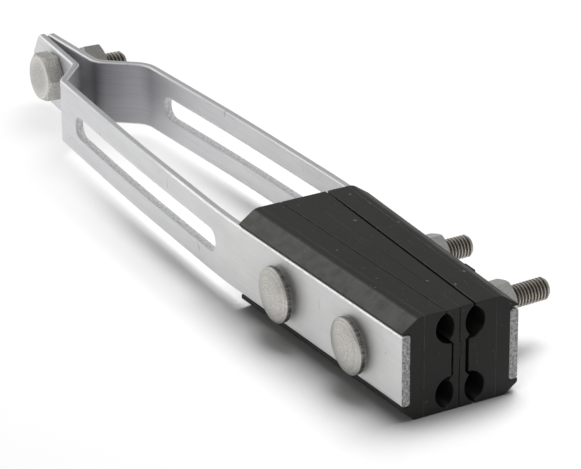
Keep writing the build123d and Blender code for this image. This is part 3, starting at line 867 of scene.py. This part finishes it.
def floor_material(sizes):
    """Pale floor, white in metal, and to cameras white with the clamp's shadow on it.

    The shadow is deep close to the block, and pale under the straps' tips, beside the block and far off.
    """
    material = bpy.data.materials.new("pale_floor")
    material.use_nodes = True
    tree = material.node_tree
    tree.nodes.clear()
    path = put(tree, "ShaderNodeLightPath").outputs
    mirrored = calc(tree, "MAXIMUM", path["Is Glossy Ray"], path["Is Transmission Ray"])
    close = put(tree, "ShaderNodeAmbientOcclusion", SAMPLES=16, Distance=CONTACT_REACH).outputs["AO"]
    contact = blend_tone(tree, remap(tree, close, 0.35, 0.85), 0.62, FULL_WHITE)
    tone = blend_tone(tree, mirrored, sizes.floor_tone, FULL_WHITE)
    tone = blend_tone(tree, path["Is Camera Ray"], tone, contact)
    matt = put(tree, "ShaderNodeBsdfDiffuse", Color=tone)

    place = put(tree, "ShaderNodeTexCoord").outputs["Object"]
    x, y, _ = parts(tree, place)
    middle = put(tree, "ShaderNodeVectorMath", OPERATION="DISTANCE", i0=place, i1=FLOOR_MIDDLE)
    far = remap(tree, middle.outputs["Value"], *FAR_OFF, smooth=True)
    behind = remap(tree, x, *BEHIND, 0.0, 0.78, smooth=True)
    beside = remap(tree, y, *BESIDE, 0.0, 0.7, smooth=True)
    share = calc(tree, "MAXIMUM", far, calc(tree, "MAXIMUM", behind, beside))
    share = times(tree, share, calc(tree, "MAXIMUM", path["Is Camera Ray"], mirrored))
    white = put(tree, "ShaderNodeEmission", Strength=1.0)
    mixed = put(tree, "ShaderNodeMixShader", i0=share, i1=matt, i2=white)
    put(tree, "ShaderNodeOutputMaterial", Surface=mixed)
    return material


def lay_floor(sizes):
    """Wide floor under the clamp."""
    bm = bmesh.new()
    bmesh.ops.create_grid(bm, x_segments=1, y_segments=1, size=4)
    mesh = bpy.data.meshes.new("floor")
    bm.to_mesh(mesh)
    bm.free()
    floor = bpy.data.objects.new("floor", mesh)
    bpy.context.collection.objects.link(floor)
    give(floor, floor_material(sizes))


def light_world(sizes):
    """Room with two pale glows that metal mirrors, and a weak fill with a low glow for dull surfaces.

    It is plain white where the camera looks at it.
    """
    world = bpy.data.worlds.new("studio")
    world.use_nodes = True
    bpy.context.scene.world = world
    tree = world.node_tree
    tree.nodes.clear()
    way = put(tree, "ShaderNodeTexCoord").outputs["Generated"]
    path = put(tree, "ShaderNodeLightPath").outputs

    rear = calc(tree, "POWER", remap(tree, toward(tree, way, REAR_GLOW), -0.6, 1.0), 3.0)
    front = times(tree, remap(tree, toward(tree, way, FRONT_GLOW), 0.6, 0.98), 0.75)
    room = calc(tree, "ADD", calc(tree, "MULTIPLY_ADD", rear, 1.15, 0.12), front)
    room = times(tree, room, sizes.sky_strength)

    low = times(tree, remap(tree, toward(tree, way, LOW_GLOW), 0.0, 0.8),
                remap(tree, parts(tree, way)[2], 0.35, 0.1))
    fill = times(tree, calc(tree, "MULTIPLY_ADD", low, 15.0, 1.0), sizes.fill_strength)

    level = put(tree, "ShaderNodeMix", i0=path["Is Glossy Ray"], i2=fill, i3=room)
    white = (1, 1, 1, 1)
    lit = put(tree, "ShaderNodeBackground", Color=white, Strength=level)
    plain = put(tree, "ShaderNodeBackground", Color=white, Strength=1.0)
    seen = put(tree, "ShaderNodeMixShader", i0=path["Is Camera Ray"], i1=lit, i2=plain)
    put(tree, "ShaderNodeOutputWorld", Surface=seen)


def add_lamp(sizes):
    """Oblong soft lamp above and behind the clamp, which metal doesn't mirror."""
    lamp = bpy.data.lights.new("soft_lamp", "AREA")
    lamp.shape = "RECTANGLE"
    lamp.size, lamp.size_y = LAMP_SIZE
    lamp.energy = sizes.lamp_power
    holder = bpy.data.objects.new("soft_lamp", lamp)
    holder.visible_glossy = False
    bpy.context.collection.objects.link(holder)
    aim = Vector(LAMP_AIM) - Vector(LAMP_PLACE)
    turn = aim.to_track_quat("-Z", "Y").to_matrix().to_4x4()
    holder.matrix_world = Matrix.Translation(LAMP_PLACE) @ turn


def set_camera(sizes):
    """Camera at the photograph's angle."""
    camera = bpy.data.cameras.new("camera")
    camera.sensor_width = 36
    camera.lens = sizes.lens
    camera.clip_start = 0.01
    camera.clip_end = 50
    holder = bpy.data.objects.new("camera", camera)
    bpy.context.collection.objects.link(holder)
    around, rise, roll = sizes.azimuth, sizes.elevation, sizes.roll
    back = Vector((math.sin(around) * math.cos(rise), -math.cos(around) * math.cos(rise), math.sin(rise)))
    level = Vector((math.cos(around), math.sin(around), 0))
    upright = back.cross(level)
    right = level * math.cos(roll) + upright * math.sin(roll)
    up = upright * math.cos(roll) - level * math.sin(roll)
    turn = Matrix((right, up, back)).transposed().to_4x4()
    holder.matrix_world = Matrix.Translation(sizes.camera_place) @ turn
    bpy.context.scene.camera = holder
    bpy.context.scene.view_settings.view_transform = "Standard"


class AnchorClampPanel(bpy.types.Panel):
    """Lists the steps that finish the clamp"""

    bl_idname = "VIEW3D_PT_anchor_clamp"
    bl_label = "Anchor clamp"
    bl_space_type = "VIEW_3D"
    bl_region_type = "UI"
    bl_category = "Anchor clamp"

    def draw(self, context):
        scene = context.scene
        for step, (name, operators) in STEPS_SHOWN.items():
            box = self.layout.box()
            box.label(text=name)
            settings = getattr(scene, step)
            for prop in settings.bl_rna.properties:
                if prop.identifier not in ("rna_type", "name"):
                    box.prop(settings, prop.identifier)
            for operator in operators:
                box.operator(operator.bl_idname)


SETTINGS = {
    "anchor_straps": StrapSettings,
    "anchor_mouldings": MouldingSettings,
    "anchor_fasteners": FastenerSettings,
    "anchor_clamping_bolts": ClampingBoltSettings,
    "anchor_cross_bolt": CrossBoltSettings,
    "anchor_studio": StudioSettings,
}
STEPS_SHOWN = {
    "anchor_straps": ("Straps", [DressStraps]),
    "anchor_mouldings": ("Mouldings", [DressMouldings]),
    "anchor_fasteners": ("Nuts and washers", [DressNuts]),
    "anchor_clamping_bolts": ("Clamping bolts", [MakeClampingBolts]),
    "anchor_cross_bolt": ("Cross bolt", [MakeCrossBolt]),
    "anchor_studio": ("Studio", [SetUpStudio]),
}
OPERATORS = (DressStraps, DressMouldings, DressNuts, MakeClampingBolts, MakeCrossBolt, SetUpStudio)


def register():
    for kind in (*SETTINGS.values(), *OPERATORS, AnchorClampPanel):
        bpy.utils.register_class(kind)
    for name, kind in SETTINGS.items():
        setattr(bpy.types.Scene, name, bpy.props.PointerProperty(type=kind))


def unregister():
    for name in SETTINGS:
        delattr(bpy.types.Scene, name)
    for kind in reversed((*SETTINGS.values(), *OPERATORS, AnchorClampPanel)):
        bpy.utils.unregister_class(kind)


def main():
    register()
    bpy.ops.anchor_clamp.dress_straps()
    bpy.ops.anchor_clamp.dress_mouldings()
    bpy.ops.anchor_clamp.dress_nuts()
    bpy.ops.anchor_clamp.make_clamping_bolts()
    bpy.ops.anchor_clamp.make_cross_bolt()
    bpy.ops.anchor_clamp.set_up_studio()


if __name__ == "__main__":
    main()
